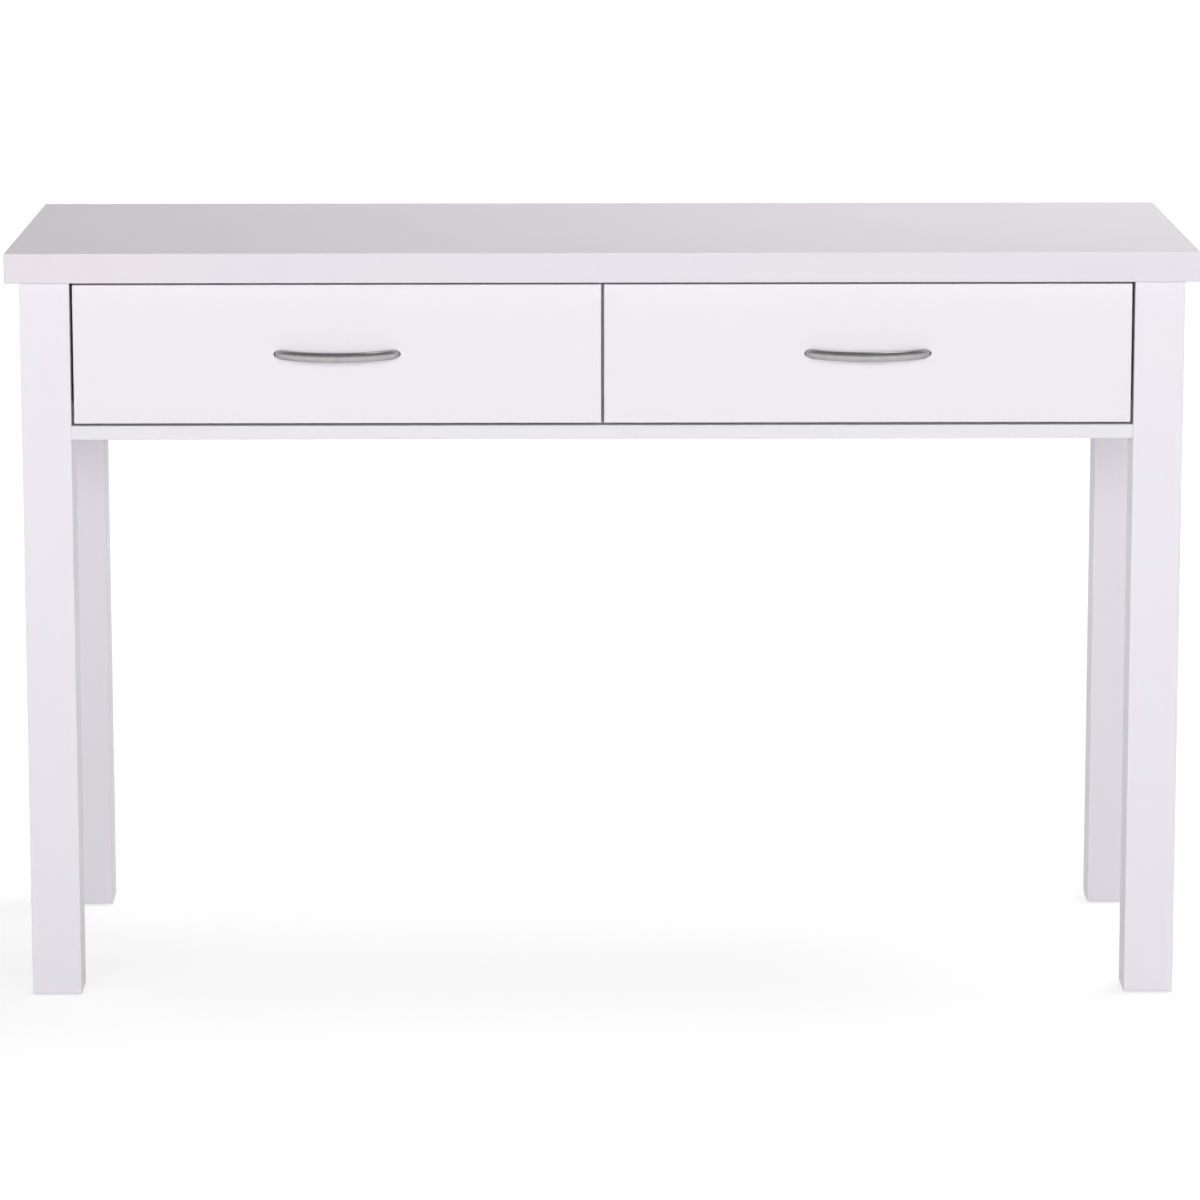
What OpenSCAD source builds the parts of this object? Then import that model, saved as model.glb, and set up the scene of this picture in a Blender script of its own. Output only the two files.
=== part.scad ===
// White console table with two drawers side by side.
// Millimetres, +Z up, +X to the right, -Y is the front where the drawers open.
// The origin is on the floor, in the middle of the overall footprint (handles included).

/* [Table top] */
// Width of the table top
top_w = 1200; // [900:1:1500]
// Depth of the table top, front to back
top_d = 455; // [380:1:560]
// Thickness of the table top
top_t = 30; // [22:1:40]
// How far the top laps over the legs at each end
side_lap = 14; // [4:0.5:30]
// How far the top laps over the drawer fronts
front_lap = 10; // [2:0.5:25]
// How far the top laps over the rear legs
back_lap = 3; // [0:0.5:20]
// Thickness of the edge band glued round the top
band_t = 1; // [0.4:0.1:2]

/* [Legs] */
// Overall height of the table
table_h = 768; // [640:1:930]
// Width and depth of each square leg
leg_s = 50; // [40:1:60]
// Height of the glide under each leg
glide_h = 2; // [2:0.5:5]
// Radius of the glide under each leg
glide_r = 10; // [8:0.5:15]

/* [Case under the top] */
// Height of the case, from the underside of the top to the underside of the bottom board
case_h = 160; // [144:1:220]
// Thickness of the side panels, back panel and centre divider
panel_t = 15; // [15:0.5:19]
// Thickness of the bottom board
floor_t = 14; // [14:0.5:19]

/* [Drawers] */
// Thickness of the drawer fronts
front_t = 16; // [15:0.5:20]
// Gap on each side of a drawer front
front_gap = 3; // [2:0.5:4]
// Gap above a drawer front
gap_above = 3; // [2:0.5:5]
// Gap below a drawer front
gap_below = 2.5; // [2:0.5:3]
// Thickness of the drawer sides and back
box_t = 12; // [12:0.5:16]
// Clear height between the top of a drawer box and the table top
box_room = 25; // [24:1:40]
// Thickness of the drawer bottom sheet
sheet_base_t = 3; // [2.5:0.5:5]
// Depth of the groove that holds the bottom sheet
groove_d = 5; // [4:0.5:7]
// Height of the groove above the lower edge of the drawer side
groove_up = 8; // [7:0.5:12]

/* [Handles] */
// Distance between the two handle screws
grip_cc = 96; // [90:1:100]
// Overall length of a handle
grip_len = 128; // [124:1:136]
// Height of the handle bar
grip_w = 10; // [9:0.5:12]
// Thickness of the handle bar, front to back
grip_t = 6; // [5:0.5:8]
// How far a handle stands out from its drawer front
grip_out = 30; // [26:1:36]

/* [Runners] */
// Space between a drawer side and the case
runner_gap = 12.5; // [12.5:0.1:14]
// Thickness of the runner steel
steel_t = 1.2; // [1:0.1:1.5]
// Radius of a nylon roller
roller_r = 9; // [8:0.5:10]
// Width of a nylon roller
roller_w = 8; // [7:0.5:8]
// Radius of a roller axle
axle_r = 2.5; // [2:0.1:3]
// Length a drawer cannot be pulled out of its runner
runner_hold = 100; // [80:10:160]

/* [Fasteners] */
// Radius of a wood dowel
dowel_r = 3; // [2.5:0.5:4]
// Length of a wood dowel
dowel_l = 30; // [24:1:34]
// Radius of a small countersunk screw
screw_r = 1.6; // [1.4:0.1:1.9]
// Length of a small countersunk screw
screw_l = 13; // [10:0.5:13.5]
// Clearance round each fastener in its hole
hole_fit = 0.05; // [0.03:0.01:0.1]
// Running clearance between a roller and its axle
run_fit = 0.05; // [0.03:0.01:0.1]

/* [Hidden] */
$fn = 48;

// ---- heights ----
under_z = table_h - top_t;
case_z = under_z - case_h;
floor_z = case_z + floor_t;
mid_z = case_z + case_h / 2;
front_z = floor_z + gap_below;
front_h = case_h - floor_t - gap_below - gap_above;
grip_z = front_z + front_h / 2;
// The surface the rear rollers roll on
track_z = floor_z + 1.8 + steel_t;
box_top_z = under_z - box_room;
box_h = box_top_z - track_z;
base_z = track_z + groove_up;

// ---- depths, front to back ----
face_y = -(grip_out + top_d - front_lap) / 2 + grip_out;
top_y = face_y - front_lap;
rear_y = top_y + top_d - back_lap;
board_y = face_y + front_t;
back_y = rear_y - panel_t;
panel_y0 = face_y + leg_s;
panel_y1 = rear_y - leg_s;
panel_l = panel_y1 - panel_y0;
inner_y = board_y + 2;
runner_l = 50 * floor((back_y - inner_y - 5) / 50);
slide_y = board_y + 0.5;
slide_l = runner_l - 4;
travel = runner_l - runner_hold;

// ---- widths ----
leg_x = top_w / 2 - side_lap;
clear_x = leg_x - leg_s;
div_x = panel_t / 2;
front_w = (2 * clear_x - 3 * front_gap) / 2;
front_x = clear_x - front_gap - front_w / 2;
box_out_x = clear_x - runner_gap;
box_in_x = div_x + runner_gap;
box_w = box_out_x - box_in_x;
panel_mid_x = clear_x + panel_t / 2;

// ---- runner section, measured from the case wall ----
rail_reach = runner_gap - steel_t - 0.5;
track_h = 2 * roller_r + 0.6;
lip_z = track_h + steel_t + 0.8;
rear_roller_z = roller_r + 0.1;
front_roller_z = lip_z - 0.1 - roller_r;
roller_inset = 12;
roller_in = (rail_reach + steel_t - roller_w) / 2;
rail_screw_z = roller_r + 0.5;
slide_screw_z = groove_up + sheet_base_t + 4.5;
rail_holes = [0.15, 0.5, 0.85];
hole_pair = 16;

// ---- fittings ----
cam_reach = 24;
cam_r = 7.5;
cam_h = 11.5;
small_cam_r = 6;
small_cam_h = 9.5;
cam_thread_l = 9;
dowel_half = dowel_l / 2;
bracket_s = 20;
bracket_w = 16;
bracket_t = 1.5;
grip_outer_r = (grip_len * grip_len / 4 + grip_out * grip_out) / (2 * grip_out);
grip_mid_r = grip_outer_r - grip_t / 2;
grip_centre_y = face_y - grip_out + grip_outer_r;
case_dowel_z = [case_z + 20, under_z - 20];
floor_dowel_y = [face_y + leg_s / 2, panel_y0 + panel_l * 0.3, panel_y0 + panel_l * 0.7];
floor_cam_y = [panel_y0 + panel_l * 0.12, panel_y0 + panel_l * 0.88];
back_dowel_x = [clear_x * 0.2, clear_x * 0.75];
back_cam_x = clear_x * 0.47;
side_bracket_y = [panel_y0 + panel_l * 0.25, panel_y0 + panel_l * 0.75];
back_bracket_x = clear_x * 0.5;
divider_screw_y = [for (f = [0.06, 0.34, 0.70]) inner_y + runner_l * f];
divider_screw_z = [case_z + case_h * 0.4, case_z + case_h * 0.75];
divider_screw_l = 45;
box_cam_z = track_z + box_h * 0.6;
box_dowel_z = [track_z + box_h * 0.3, track_z + box_h * 0.85];
back_screw_z = [track_z + box_h * 0.45, track_z + box_h * 0.8];

white = [0.93, 0.92, 0.93];
steel = [0.75, 0.75, 0.77];
epoxy = [0.88, 0.88, 0.88];
nickel = [0.68, 0.67, 0.66];
nylon = [0.95, 0.95, 0.92];
beech = [0.80, 0.66, 0.46];
fibre = [0.88, 0.87, 0.86];

// ================= helpers =================
module both_ends() {
    children();
    mirror([1, 0, 0]) children();
}

// A cylinder lying along +X from x = 0
module rod_x(r, l) {
    rotate([0, 90, 0]) cylinder(r = r, h = l);
}

// Countersunk screw along +X with its head face at x = 0
module screw_shape(r, l, grow) {
    head = r + 1.6;
    rotate([0, 90, 0]) {
        cylinder(r1 = head + grow, r2 = r + grow, h = head - r);
        translate([0, 0, head - r - 0.01]) cylinder(r = r + grow, h = l - head + r - 1.99);
        translate([0, 0, l - 2]) cylinder(r1 = r + grow, r2 = 0.4 + grow, h = 2 + grow);
    }
}

// Dowel along X, centred on the joint; the hole is a little deeper than the dowel
module dowel_shape(into, grow) {
    translate([-into - 4 * grow, 0, 0]) rod_x(dowel_r + grow, dowel_l + 8 * grow);
}

// Cam bolt along X: thread in the post at -X, head in the cam nut at +X
module cam_bolt_shape(grow) {
    translate([-cam_thread_l - 4 * grow, 0, 0]) rod_x(2.5 + grow, cam_thread_l + 4 * grow + 0.01);
    rod_x(3 + grow, cam_reach - 5);
    translate([cam_reach - 5.01, 0, 0]) rod_x(2 + grow, 4.02);
    translate([cam_reach - 1, 0, 0]) rod_x(3 + grow, 2.5);
}

// The hole a cam bolt needs: thread hole in the post and a plain bore up to the nut
module cam_bolt_hole() {
    translate([-cam_thread_l - 0.3, 0, 0]) rod_x(2.5 + hole_fit, cam_thread_l + 0.35);
    rod_x(3 + hole_fit, cam_reach);
}

// Cam nut, its slotted face at height "face" above the bolt axis
module cam_nut_shape(r, h, face) {
    difference() {
        translate([cam_reach, 0, face - h]) cylinder(r = r, h = h);
        translate([cam_reach - 4, -2.3, face - h - 1]) cube([4, 4.6, h - face + 3.3]);
        translate([cam_reach - r - 1, -3.3, face - h - 1]) cube([r - 2.2, 6.6, h - face + 4.3]);
        translate([cam_reach - 1.2, -3.3, face - h - 1]) cube([3.4, 6.6, h - face + 4.3]);
        translate([cam_reach - 3.5, -0.6, face - 1.8]) cube([7, 1.2, 2]);
        translate([cam_reach - 0.6, -3.5, face - 1.8]) cube([1.2, 7, 2]);
    }
}

module cam_nut_hole(r, h, face) {
    translate([cam_reach, 0, face - h - hole_fit]) cylinder(r = r + hole_fit, h = h + hole_fit + 1);
}

// Places a cam fitting: seven joints on the left half, mirrored to the right
module at_front_leg_cam() {
    translate([-panel_mid_x, panel_y0, mid_z]) rotate([90, 0, 90]) children();
}
module at_rear_leg_cam() {
    translate([-panel_mid_x, panel_y1, mid_z]) mirror([0, 1, 0]) rotate([90, 0, 90]) children();
}
module at_back_cam() {
    translate([-clear_x, rear_y - panel_t / 2, mid_z]) rotate([90, 0, 0]) children();
}
module at_floor_side_cams() {
    for (y = floor_cam_y) translate([-clear_x, y, case_z + floor_t / 2]) rotate([180, 0, 0]) children();
}
module at_floor_back_cam() {
    translate([-back_cam_x, back_y, case_z + floor_t / 2]) rotate([180, 0, -90]) children();
}

// Dowels of the left half of the case
module leg_dowels(y, grow) {
    for (z = case_dowel_z) translate([-panel_mid_x, y, z]) rotate([0, 0, 90]) dowel_shape(dowel_half, grow);
}
module back_leg_dowels(grow) {
    for (z = case_dowel_z) translate([-clear_x, rear_y - panel_t / 2, z]) dowel_shape(dowel_half, grow);
}
module floor_side_dowels(grow) {
    for (y = floor_dowel_y) translate([-clear_x, y, case_z + floor_t / 2]) dowel_shape(10, grow);
}
module floor_back_dowels(grow) {
    for (x = back_dowel_x) translate([-x, back_y, case_z + floor_t / 2])
        rotate([0, 0, -90]) dowel_shape(10, grow);
}
module half_dowels(grow) {
    leg_dowels(panel_y0, grow);
    leg_dowels(panel_y1, grow);
    back_leg_dowels(grow);
    floor_side_dowels(grow);
    floor_back_dowels(grow);
}

// Angle brackets between the case and the top; the corner of each is at the origin,
// one wing runs along +X under the top and the other runs down the wall
module bracket_shape() {
    difference() {
        union() {
            translate([0, -bracket_w / 2, -bracket_t]) cube([bracket_s, bracket_w, bracket_t]);
            translate([0, -bracket_w / 2, -bracket_s]) cube([bracket_t, bracket_w, bracket_s]);
        }
        bracket_screws(hole_fit);
    }
}
module bracket_screws(grow) {
    translate([12, 0, -bracket_t]) rotate([0, -90, 0]) screw_shape(screw_r, screw_l, grow);
    translate([bracket_t, 0, -12]) rotate([0, 0, 180]) screw_shape(screw_r, screw_l, grow);
}
module at_brackets() {
    both_ends() {
        for (y = side_bracket_y) translate([-clear_x, y, under_z]) children();
        translate([-back_bracket_x, back_y, under_z]) rotate([0, 0, -90]) children();
    }
    translate([-div_x, side_bracket_y[0], under_z]) rotate([0, 0, 180]) children();
    translate([div_x, side_bracket_y[1], under_z]) children();
}

// Screws that hold the divider, up through the bottom board and in through the back panel
module divider_screw_set(grow) {
    for (y = divider_screw_y) translate([0, y, case_z]) rotate([0, -90, 0])
        screw_shape(2.5, divider_screw_l, grow);
    for (z = divider_screw_z) translate([0, rear_y, z]) rotate([0, 0, -90])
        screw_shape(2.5, divider_screw_l, grow);
}

// ================= runners =================
// Everything here is drawn from the wall of the case at x = 0 towards the drawer at +X
module at_left_outer() {
    translate([-clear_x, 0, track_z]) children();
}
module at_left_inner() {
    translate([-div_x, 0, track_z]) mirror([1, 0, 0]) children();
}
module at_all_runners() {
    both_ends() {
        at_left_outer() children();
        at_left_inner() children();
    }
}

module rail_screw_holes() {
    for (f = rail_holes, k = [0, hole_pair]) translate([steel_t, inner_y + runner_l * f + k, rail_screw_z])
        rotate([0, 0, 180]) screw_shape(screw_r, screw_l, hole_fit);
}
module rail_screws(k, grow) {
    for (f = rail_holes) translate([steel_t, inner_y + runner_l * f + k, rail_screw_z])
        rotate([0, 0, 180]) screw_shape(screw_r, screw_l, grow);
}
module all_rail_screws(grow) {
    both_ends() at_left_outer() rail_screws(0, grow);
    at_left_inner() rail_screws(0, grow);
    mirror([1, 0, 0]) at_left_inner() rail_screws(hole_pair, grow);
}

module rail_shape() {
    color(epoxy) difference() {
        translate([0, inner_y, -steel_t]) {
            cube([steel_t, runner_l, track_h + 2 * steel_t]);
            cube([rail_reach, runner_l, steel_t]);
            translate([0, 2 * roller_inset + 4, track_h + steel_t])
                cube([rail_reach, runner_l - 2 * roller_inset - 4, steel_t]);
        }
        rail_screw_holes();
        translate([-1, inner_y + roller_inset, front_roller_z]) rod_x(axle_r + hole_fit, 3 + steel_t);
    }
}

module rail_axle_shape() {
    translate([0.1, inner_y + roller_inset, front_roller_z]) {
        rod_x(axle_r, rail_reach - 0.2);
        translate([rail_reach - 0.8, 0, 0]) rod_x(axle_r + 1.5, 0.8);
    }
}

module roller_shape() {
    color(nylon) rotate([0, 90, 0]) difference() {
        cylinder(r = roller_r, h = roller_w);
        translate([0, 0, -1]) cylinder(r = axle_r + run_fit, h = roller_w + 2);
        translate([0, 0, roller_w - 0.8]) difference() {
            cylinder(r = roller_r - 1.5, h = 1);
            translate([0, 0, -0.5]) cylinder(r = axle_r + 1.5, h = 2);
        }
    }
}

module front_roller_shape() {
    translate([steel_t + 0.3, inner_y + roller_inset, front_roller_z]) roller_shape();
}

module rear_roller_shape() {
    translate([rail_reach - 0.1 - roller_w, slide_y + slide_l - roller_inset, rear_roller_z]) roller_shape();
}

// The drawer's own runner: web on the drawer side, foot under it, lip over the front roller
module slide_shape() {
    web_x = runner_gap - steel_t;
    color(epoxy) difference() {
        translate([0, slide_y, 0]) {
            translate([web_x, 0, -steel_t]) cube([steel_t, slide_l, lip_z + 2 * steel_t]);
            translate([web_x, 0, -steel_t]) cube([steel_t + 9, slide_l, steel_t]);
            translate([2.2, 0, lip_z]) cube([web_x - 2.2 + steel_t, slide_l, steel_t]);
        }
        slide_screws(hole_fit);
        translate([web_x - 1, slide_y + slide_l - roller_inset, rear_roller_z])
            rod_x(axle_r + hole_fit, steel_t + 2);
    }
}
module slide_screws(grow) {
    for (f = rail_holes) translate([runner_gap - steel_t, slide_y + runner_l * f - 10, slide_screw_z])
        screw_shape(screw_r, screw_l - 2, grow);
}
module slide_axle_shape() {
    translate([steel_t + 0.5, slide_y + slide_l - roller_inset, rear_roller_z]) {
        rod_x(axle_r, runner_gap - steel_t - 0.6);
        rod_x(axle_r + 1.5, 0.7);
    }
}

// ================= top and legs =================
module table_top() {
    color(white) difference() {
        translate([-top_w / 2 + band_t, top_y + band_t, under_z])
            cube([top_w - 2 * band_t, top_d - 2 * band_t, top_t]);
        at_brackets() bracket_screws(hole_fit);
    }
}

module top_edge_bands() {
    color(white) {
        for (y = [top_y, top_y + top_d - band_t]) translate([-top_w / 2, y, under_z])
            cube([top_w, band_t, top_t]);
        both_ends() translate([-top_w / 2, top_y + band_t + 0.1, under_z])
            cube([band_t, top_d - 2 * band_t - 0.2, top_t]);
    }
}

module glide_shape(grow) {
    cylinder(r = glide_r, h = glide_h);
    cylinder(r = 1.2 + grow, h = glide_h + 14 + 4 * grow);
}

module left_leg(y) {
    translate([-leg_x, y, glide_h]) cube([leg_s, leg_s, under_z - glide_h]);
}

module front_left_leg() {
    color(white) difference() {
        left_leg(face_y);
        leg_dowels(panel_y0, hole_fit);
        floor_side_dowels(hole_fit);
        at_front_leg_cam() cam_bolt_hole();
        translate([-leg_x + leg_s / 2, face_y + leg_s / 2, 0]) glide_shape(hole_fit);
    }
}
module front_right_leg() {
    mirror([1, 0, 0]) front_left_leg();
}

module rear_left_leg() {
    color(white) difference() {
        left_leg(rear_y - leg_s);
        leg_dowels(panel_y1, hole_fit);
        back_leg_dowels(hole_fit);
        at_rear_leg_cam() cam_bolt_hole();
        at_back_cam() cam_bolt_hole();
        translate([-leg_x + leg_s / 2, rear_y - leg_s / 2, 0]) glide_shape(hole_fit);
    }
}
module rear_right_leg() {
    mirror([1, 0, 0]) rear_left_leg();
}

module foot_glides() {
    color(nylon) both_ends() for (y = [face_y + leg_s / 2, rear_y - leg_s / 2])
        translate([-leg_x + leg_s / 2, y, 0]) glide_shape(0);
}

// ================= case =================
module left_side_panel() {
    color(white) difference() {
        translate([-clear_x - panel_t, panel_y0, case_z]) cube([panel_t, panel_l, case_h]);
        leg_dowels(panel_y0, hole_fit);
        leg_dowels(panel_y1, hole_fit);
        floor_side_dowels(hole_fit);
        at_front_leg_cam() {
            cam_bolt_hole();
            cam_nut_hole(cam_r, cam_h, panel_t / 2);
        }
        at_rear_leg_cam() {
            cam_bolt_hole();
            cam_nut_hole(cam_r, cam_h, panel_t / 2);
        }
        at_floor_side_cams() cam_bolt_hole();
        at_left_outer() rail_screws(0, hole_fit);
        at_brackets() bracket_screws(hole_fit);
    }
}
module right_side_panel() {
    mirror([1, 0, 0]) left_side_panel();
}

module back_panel() {
    color(white) difference() {
        translate([-clear_x, back_y, case_z]) cube([2 * clear_x, panel_t, case_h]);
        both_ends() {
            back_leg_dowels(hole_fit);
            floor_back_dowels(hole_fit);
            at_back_cam() {
                cam_bolt_hole();
                cam_nut_hole(cam_r, cam_h, panel_t / 2);
            }
            at_floor_back_cam() cam_bolt_hole();
        }
        divider_screw_set(hole_fit);
        at_brackets() bracket_screws(hole_fit);
    }
}

module bottom_board() {
    color(white) difference() {
        translate([-clear_x, face_y, case_z]) cube([2 * clear_x, back_y - face_y, floor_t]);
        both_ends() {
            floor_side_dowels(hole_fit);
            floor_back_dowels(hole_fit);
            at_floor_side_cams() {
                cam_bolt_hole();
                cam_nut_hole(cam_r, cam_h, floor_t / 2);
            }
            at_floor_back_cam() {
                cam_bolt_hole();
                cam_nut_hole(cam_r, cam_h, floor_t / 2);
            }
        }
        divider_screw_set(hole_fit);
    }
}

module centre_divider() {
    color(white) difference() {
        translate([-div_x, inner_y, floor_z]) cube([panel_t, back_y - inner_y, case_h - floor_t]);
        divider_screw_set(hole_fit);
        at_left_inner() rail_screws(0, hole_fit);
        mirror([1, 0, 0]) at_left_inner() rail_screws(hole_pair, hole_fit);
        at_brackets() bracket_screws(hole_fit);
    }
}

module case_cam_bolts() {
    color(steel) both_ends() {
        at_front_leg_cam() cam_bolt_shape(0);
        at_rear_leg_cam() cam_bolt_shape(0);
        at_back_cam() cam_bolt_shape(0);
        at_floor_side_cams() cam_bolt_shape(0);
        at_floor_back_cam() cam_bolt_shape(0);
    }
}

module case_cam_nuts() {
    color(nickel) both_ends() {
        at_front_leg_cam() cam_nut_shape(cam_r, cam_h, panel_t / 2);
        at_rear_leg_cam() cam_nut_shape(cam_r, cam_h, panel_t / 2);
        at_back_cam() cam_nut_shape(cam_r, cam_h, panel_t / 2);
        at_floor_side_cams() cam_nut_shape(cam_r, cam_h, floor_t / 2);
        at_floor_back_cam() cam_nut_shape(cam_r, cam_h, floor_t / 2);
    }
}

module case_dowels() {
    color(beech) both_ends() half_dowels(0);
}

module divider_screws() {
    color(steel) divider_screw_set(0);
}

module top_brackets() {
    color(steel) at_brackets() bracket_shape();
}

module small_screws() {
    color(steel) {
        at_brackets() bracket_screws(0);
        all_rail_screws(0);
    }
}

// ================= fixed rails and front rollers =================
module left_outer_rail() {
    at_left_outer() rail_shape();
}
module left_inner_rail() {
    at_left_inner() rail_shape();
}
module right_inner_rail() {
    mirror([1, 0, 0]) left_inner_rail();
}
module right_outer_rail() {
    mirror([1, 0, 0]) left_outer_rail();
}
module rail_axles() {
    color(steel) at_all_runners() rail_axle_shape();
}
module left_outer_front_roller() {
    at_left_outer() front_roller_shape();
}
module left_inner_front_roller() {
    at_left_inner() front_roller_shape();
}
module right_inner_front_roller() {
    mirror([1, 0, 0]) left_inner_front_roller();
}
module right_outer_front_roller() {
    mirror([1, 0, 0]) left_outer_front_roller();
}

// ================= left drawer; the right one is its mirror image =================
module at_outer_box_joint() {
    translate([-box_out_x + box_t / 2, board_y, 0]) rotate([90, 0, 90]) children();
}
module at_inner_box_joint() {
    translate([-box_in_x - box_t / 2, board_y, 0]) mirror([1, 0, 0]) rotate([90, 0, 90]) children();
}

module box_cam_bolts(grow) {
    at_outer_box_joint() translate([0, box_cam_z, 0]) cam_bolt_shape(grow);
    at_inner_box_joint() translate([0, box_cam_z, 0]) cam_bolt_shape(grow);
}
module box_cam_holes() {
    at_outer_box_joint() translate([0, box_cam_z, 0]) cam_bolt_hole();
    at_inner_box_joint() translate([0, box_cam_z, 0]) cam_bolt_hole();
}
module box_nut_holes() {
    at_outer_box_joint() translate([0, box_cam_z, 0]) cam_nut_hole(small_cam_r, small_cam_h, box_t / 2);
    at_inner_box_joint() translate([0, box_cam_z, 0]) cam_nut_hole(small_cam_r, small_cam_h, box_t / 2);
}
module box_dowels(grow) {
    for (z = box_dowel_z) {
        at_outer_box_joint() translate([0, z, 0]) dowel_shape(10, grow);
        at_inner_box_joint() translate([0, z, 0]) dowel_shape(10, grow);
    }
}
module box_back_screws(grow) {
    y = board_y + runner_l - box_t / 2;
    for (z = back_screw_z) {
        translate([-box_out_x, y, z]) screw_shape(screw_r + 0.4, 32, grow);
        translate([-box_in_x, y, z]) rotate([0, 0, 180]) screw_shape(screw_r + 0.4, 32, grow);
    }
}
module handle_bolts(grow) {
    for (s = [-1, 1]) translate([-front_x + s * grip_cc / 2, board_y, grip_z]) rotate([0, 0, -90]) {
        translate([-0.01, 0, 0]) rod_x(2 + grow, front_t + 9);
        translate([-2.2, 0, 0]) rod_x(3.8, 2.2);
    }
}
module base_slot(grow) {
    translate([-box_out_x + box_t - groove_d - grow, board_y - groove_d - grow, base_z - grow])
        cube([box_w - 2 * box_t + 2 * groove_d + 2 * grow, runner_l + groove_d + 1, sheet_base_t + 2 * grow]);
}

module left_drawer_front() {
    color(white) difference() {
        translate([-front_x - front_w / 2, face_y, front_z]) cube([front_w, front_t, front_h]);
        box_cam_holes();
        box_dowels(hole_fit);
        base_slot(0.1);
        for (s = [-1, 1]) translate([-front_x + s * grip_cc / 2, board_y + 1, grip_z])
            rotate([0, 0, -90]) rod_x(2.2, front_t + 2);
    }
}

module drawer_side(x) {
    color(fibre) difference() {
        translate([x, board_y, track_z]) cube([box_t, runner_l, box_h]);
        base_slot(0.1);
        box_cam_holes();
        box_nut_holes();
        box_dowels(hole_fit);
        box_back_screws(hole_fit);
        at_left_outer() slide_screws(hole_fit);
        at_left_inner() slide_screws(hole_fit);
    }
}
module left_drawer_outer_side() {
    drawer_side(-box_out_x);
}
module left_drawer_inner_side() {
    drawer_side(-box_in_x - box_t);
}

module left_drawer_back() {
    color(fibre) difference() {
        translate([-box_out_x + box_t, board_y + runner_l - box_t, base_z + sheet_base_t + 0.1])
            cube([box_w - 2 * box_t, box_t, box_top_z - base_z - sheet_base_t - 0.1]);
        box_back_screws(hole_fit);
    }
}

module left_drawer_bottom() {
    color(fibre) translate([-box_out_x + box_t - groove_d, board_y - groove_d, base_z])
        cube([box_w - 2 * box_t + 2 * groove_d, runner_l + groove_d, sheet_base_t]);
}

// A bow bar of rounded section, cut off flat against the drawer front, with two screw posts
module left_drawer_handle() {
    color(nickel) difference() {
        translate([-front_x, 0, grip_z]) intersection() {
            union() {
                translate([0, grip_centre_y, 0]) rotate([0, 0, -140]) rotate_extrude(angle = 100) {
                    translate([grip_mid_r - grip_t / 2, -grip_w / 2 + grip_t / 2])
                        square([grip_t, grip_w - grip_t]);
                    translate([grip_mid_r, grip_w / 2 - grip_t / 2]) circle(r = grip_t / 2);
                    translate([grip_mid_r, -grip_w / 2 + grip_t / 2]) circle(r = grip_t / 2);
                }
                for (s = [-1, 1]) translate([s * grip_cc / 2, face_y, 0]) rotate([90, 0, 0])
                    cylinder(r = 4.4, h = 10.5);
            }
            translate([-grip_len, face_y - grip_out - 1, -grip_w])
                cube([2 * grip_len, grip_out + 1, 2 * grip_w]);
        }
        handle_bolts(hole_fit);
    }
}
module left_handle_screws() {
    color(steel) handle_bolts(0);
}

module left_drawer_outer_runner() {
    at_left_outer() slide_shape();
}
module left_drawer_inner_runner() {
    at_left_inner() slide_shape();
}
module left_drawer_screws() {
    color(steel) {
        at_left_outer() slide_screws(0);
        at_left_inner() slide_screws(0);
        box_back_screws(0);
    }
}
module left_drawer_axles() {
    color(steel) {
        at_left_outer() slide_axle_shape();
        at_left_inner() slide_axle_shape();
    }
}
module left_drawer_cam_bolts() {
    color(steel) box_cam_bolts(0);
}
module left_drawer_cam_nuts() {
    color(nickel) {
        at_outer_box_joint() translate([0, box_cam_z, 0]) cam_nut_shape(small_cam_r, small_cam_h, box_t / 2);
        at_inner_box_joint() translate([0, box_cam_z, 0]) cam_nut_shape(small_cam_r, small_cam_h, box_t / 2);
    }
}
module left_drawer_dowels() {
    color(beech) box_dowels(0);
}
module left_outer_rear_roller() {
    at_left_outer() rear_roller_shape();
}
module left_inner_rear_roller() {
    at_left_inner() rear_roller_shape();
}

// ================= parts =================
table_top();
top_edge_bands();
front_left_leg();
front_right_leg();
rear_left_leg();
rear_right_leg();
foot_glides();
left_side_panel();
right_side_panel();
back_panel();
bottom_board();
centre_divider();
case_cam_bolts();
case_cam_nuts();
case_dowels();
divider_screws();
top_brackets();
small_screws();
left_outer_rail();
left_inner_rail();
right_inner_rail();
right_outer_rail();
rail_axles();
left_outer_front_roller();
left_inner_front_roller();
right_inner_front_roller();
right_outer_front_roller();
left_drawer_front();
left_drawer_outer_side();
left_drawer_inner_side();
left_drawer_back();
left_drawer_bottom();
left_drawer_handle();
left_handle_screws();
left_drawer_outer_runner();
left_drawer_inner_runner();
left_drawer_screws();
left_drawer_axles();
left_drawer_cam_bolts();
left_drawer_cam_nuts();
left_drawer_dowels();
left_outer_rear_roller();
left_inner_rear_roller();
mirror([1, 0, 0]) left_drawer_front();  // right_drawer_front
mirror([1, 0, 0]) left_drawer_outer_side();  // right_drawer_outer_side
mirror([1, 0, 0]) left_drawer_inner_side();  // right_drawer_inner_side
mirror([1, 0, 0]) left_drawer_back();  // right_drawer_back
mirror([1, 0, 0]) left_drawer_bottom();  // right_drawer_bottom
mirror([1, 0, 0]) left_drawer_handle();  // right_drawer_handle
mirror([1, 0, 0]) left_handle_screws();  // right_handle_screws
mirror([1, 0, 0]) left_drawer_outer_runner();  // right_drawer_outer_runner
mirror([1, 0, 0]) left_drawer_inner_runner();  // right_drawer_inner_runner
mirror([1, 0, 0]) left_drawer_screws();  // right_drawer_screws
mirror([1, 0, 0]) left_drawer_axles();  // right_drawer_axles
mirror([1, 0, 0]) left_drawer_cam_bolts();  // right_drawer_cam_bolts
mirror([1, 0, 0]) left_drawer_cam_nuts();  // right_drawer_cam_nuts
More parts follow.
